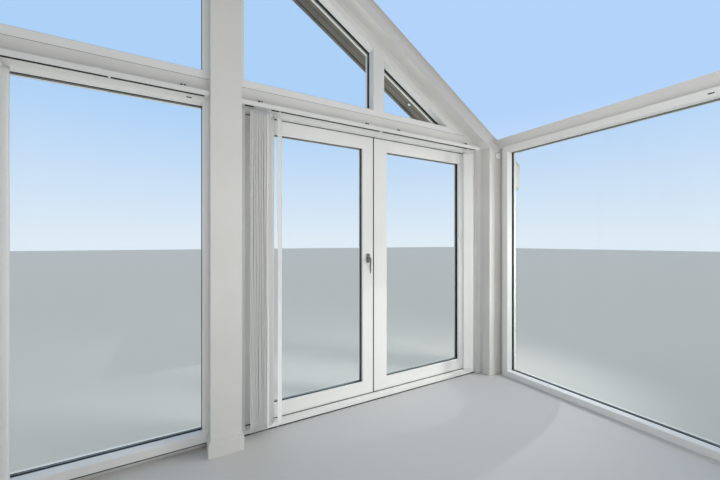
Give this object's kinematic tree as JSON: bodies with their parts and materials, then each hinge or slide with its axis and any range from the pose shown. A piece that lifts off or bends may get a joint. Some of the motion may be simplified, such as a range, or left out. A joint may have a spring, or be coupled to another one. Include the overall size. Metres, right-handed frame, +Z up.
{
  "type": "glazed gable corner with double terrace doors",
  "caption": "L-shaped corner of a timber house: a glazed gable with ridge post, terrace doors and sloped top lights, one side window bay, verge and vertical blinds.",
  "frame": {"origin": "foot of the ridge post, on the gable's centre line, at the finished floor and in line with the door frame's room face", "axes": "+X along the gable towards the doors and the side wall, +Y out of the house, +Z up"},
  "size_m": [5.68, 2.811, 3.7168],
  "materials": {
    "painted_timber": "white satin paint",
    "white_frames": "white satin",
    "glazing": "clear sealed unit",
    "white_metal": "white powder coat",
    "satin_metal": "satin",
    "bare_timber": "sawn",
    "stained_timber": "dark brown stain",
    "roofing": "mineral felt",
    "vane_cloth": "stiffened weave",
    "seals": "black weather seal"
  },
  "bodies": {
    "gable": {"ridge_post": "painted_timber", "post_skirting": "painted_timber", "corner_post": "painted_timber", "end_post": "painted_timber", "gable_plinth": "painted_timber", "transom_left": "painted_timber", "transom_right": "painted_timber", "near_window_frame": "white_frames", "far_window_frame": "white_frames", "lower_window_glass": "glazing", "upper_frames_left": "white_frames", "upper_frames_right": "white_frames", "upper_window_glass": "glazing", "door_jamb_left": "white_frames", "door_jamb_right": "white_frames", "door_head": "white_frames", "door_threshold": "white_frames", "hinge_pins_left": "white_metal", "hinge_pins_right": "white_metal", "side_window_frame": "white_frames", "side_window_glass": "glazing", "side_beam": "painted_timber", "side_end_post": "painted_timber", "rafter_left": "painted_timber", "rafter_right": "painted_timber", "verge_ladders": "bare_timber", "soffit_left": "stained_timber", "soffit_right": "stained_timber", "barge_board_left": "stained_timber", "barge_board_right": "stained_timber", "roof_boards_left": "roofing", "roof_boards_right": "roofing", "blind_rails": "white_metal", "door_vanes": "vane_cloth", "window_vanes": "vane_cloth"},
    "left_leaf": {"door_leaf_left": "white_frames", "door_glass_left": "glazing", "hinge_plates_left": "white_metal", "handle_rose": "satin_metal"},
    "right_leaf": {"door_leaf_right": "white_frames", "door_glass_right": "glazing", "hinge_plates_right": "white_metal"},
    "lever": {"door_lever": "satin_metal"}
  },
  "joints": [
    {"name": "left_door_hinge", "type": "hinge", "parent": "gable", "child": "left_leaf", "pos_m": [0.1135, 0.124, 0], "axis": [0, 0, 1], "range_deg": [0, 95]},
    {"name": "right_door_hinge", "type": "hinge", "parent": "gable", "child": "right_leaf", "pos_m": [2.1515, 0.124, 0], "axis": [0, 0, -1], "range_deg": [0, 95]},
    {"name": "lever_turn", "type": "hinge", "parent": "left_leaf", "child": "lever", "pos_m": [1.0655, 0, 1.1], "axis": [0, 1, 0], "range_deg": [0, 90]}
  ]
}
